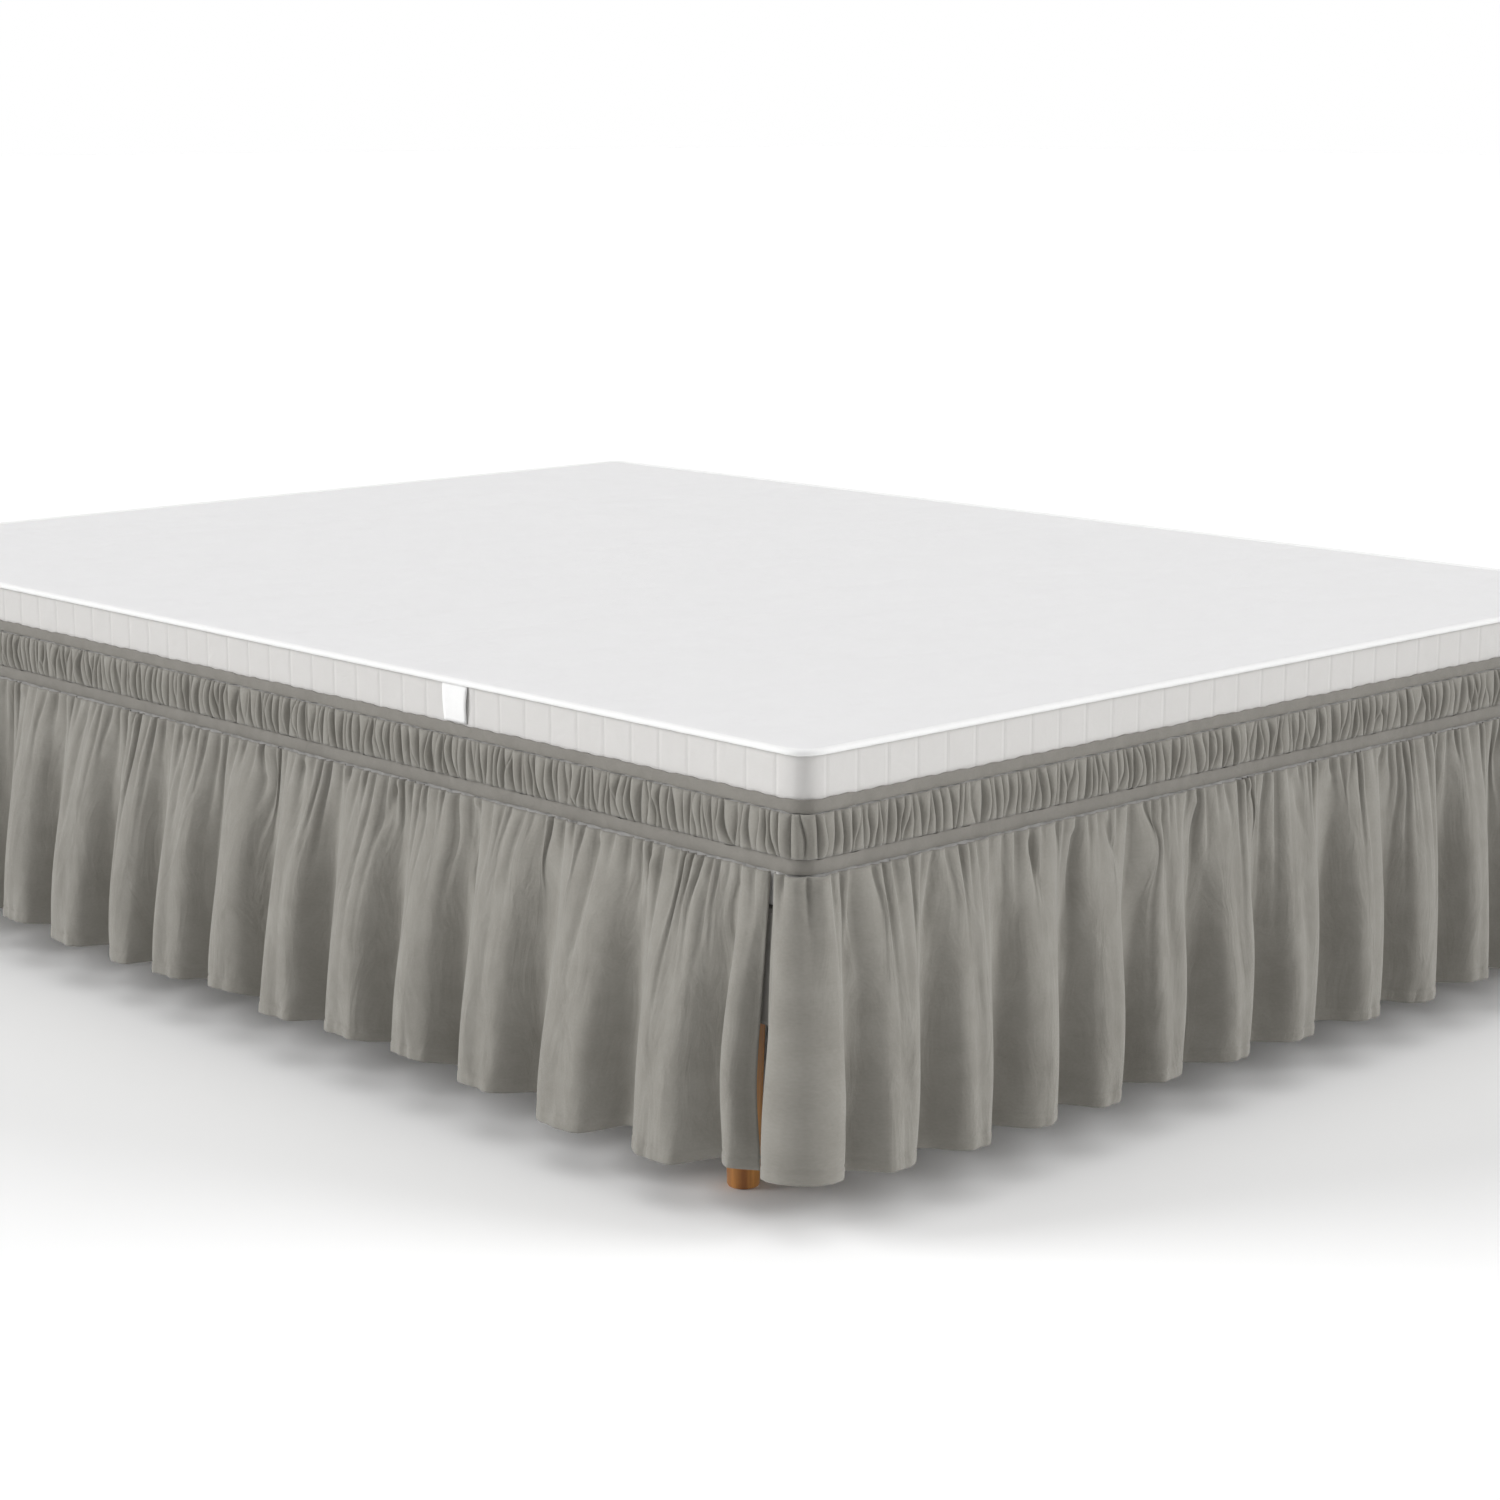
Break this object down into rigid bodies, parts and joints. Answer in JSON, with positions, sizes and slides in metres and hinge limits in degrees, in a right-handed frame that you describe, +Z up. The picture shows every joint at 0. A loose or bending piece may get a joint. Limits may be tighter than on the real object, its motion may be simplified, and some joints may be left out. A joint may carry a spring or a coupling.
{
  "type": "bed skirt on a bed",
  "caption": "Grey-taupe gathered bed skirt, held by two elastic bands round a bed with a white mattress and round wooden legs.",
  "frame": {"origin": "on the floor, under the middle of the whole object", "axes": "+Z up; the foot of the bed faces -Y and its head faces +Y; the long sides face -X and +X"},
  "size_m": [1.652, 2.1016, 0.4956],
  "materials": {
    "taupe_cloth": "matt, finely woven, brushed",
    "taupe_elastic": "matt, ribbed",
    "white_ticking": "matt, quilted",
    "white_piping": "smooth tape",
    "base_cover": "matt, plain woven",
    "stained_pine": "satin varnish"
  },
  "bodies": {
    "root": {"elastic_upper": "taupe_elastic", "header": "taupe_cloth", "elastic_lower": "taupe_elastic", "drop_left": "taupe_cloth", "drop_foot": "taupe_cloth", "drop_right": "taupe_cloth", "mattress": "white_ticking", "mattress_piping": "white_piping", "bed_base": "base_cover", "leg_foot_left": "stained_pine", "leg_foot_right": "stained_pine", "leg_head_left": "stained_pine", "leg_head_right": "stained_pine"}
  },
  "joints": []
}
